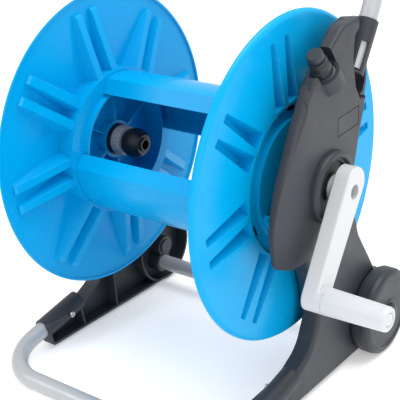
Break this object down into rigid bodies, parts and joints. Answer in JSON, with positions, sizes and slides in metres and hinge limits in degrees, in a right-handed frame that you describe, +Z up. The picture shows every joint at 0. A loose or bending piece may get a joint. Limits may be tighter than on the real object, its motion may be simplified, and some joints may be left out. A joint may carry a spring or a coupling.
{
  "type": "hose reel",
  "caption": "Free-standing garden hose reel with a ribbed flanged drum, side crank, two moulded brackets, tubular base and handle, and rear wheels.",
  "frame": {"origin": "centre of the bounding box in X and Y, on the ground plane", "axes": "+X along the drum axis towards the crank side, +Y to the rear (wheels and handle), +Z up"},
  "size_m": [0.48, 0.3544, 0.4794],
  "materials": {
    "blue_moulding": "glossy moulded polypropylene",
    "grey_moulding": "fine-grained satin plastic",
    "black_moulding": "satin plastic",
    "light_grey_moulding": "satin plastic",
    "white_moulding": "smooth satin-gloss plastic",
    "tube_paint": "light grey powder coat on steel tube",
    "zinc_steel": "zinc-plated steel",
    "seal_rubber": "black sealing ring"
  },
  "bodies": {
    "stand": {"left_bracket": "grey_moulding", "right_bracket": "grey_moulding", "left_bezel": "grey_moulding", "right_bezel": "grey_moulding", "left_bush": "black_moulding", "right_bush": "black_moulding", "base_tube": "tube_paint", "handle_tube": "tube_paint", "crossbar": "tube_paint", "left_handle_screw": "zinc_steel", "right_handle_screw": "zinc_steel", "left_base_screw": "zinc_steel", "right_base_screw": "zinc_steel", "left_wheel_pin": "grey_moulding", "right_wheel_pin": "grey_moulding", "left_wheel_cap": "grey_moulding", "right_wheel_cap": "grey_moulding", "connector_post": "grey_moulding", "post_oring": "seal_rubber", "inlet_body": "black_moulding", "inlet_nut": "light_grey_moulding"},
    "left_wheel_body": {"left_wheel": "grey_moulding"},
    "right_wheel_body": {"right_wheel": "grey_moulding"},
    "drum": {"left_flange": "blue_moulding", "right_flange": "blue_moulding", "upper_panel": "blue_moulding", "lower_panel": "blue_moulding", "left_axle": "black_moulding", "right_axle": "zinc_steel", "outlet_collar": "black_moulding", "outlet_nut": "light_grey_moulding", "outlet_nose": "black_moulding", "crank_arm": "white_moulding", "crank_screw": "black_moulding", "crank_spindle": "white_moulding"},
    "crank_grip": {"grip_sleeve": "white_moulding"}
  },
  "joints": [
    {"name": "drum_spin", "type": "hinge", "parent": "stand", "child": "drum", "pos_m": [-0.026, 0.00725, 0.235], "axis": [1, 0, 0], "continuous": true},
    {"name": "crank_grip_spin", "type": "hinge", "parent": "drum", "child": "crank_grip", "pos_m": [0.204, -0.05019, 0.14236], "axis": [1, 0, 0], "continuous": true},
    {"name": "left_wheel_spin", "type": "hinge", "parent": "stand", "child": "left_wheel_body", "pos_m": [-0.199, 0.11525, 0.05], "axis": [1, 0, 0], "continuous": true},
    {"name": "right_wheel_spin", "type": "hinge", "parent": "stand", "child": "right_wheel_body", "pos_m": [0.147, 0.11525, 0.05], "axis": [1, 0, 0], "continuous": true}
  ]
}
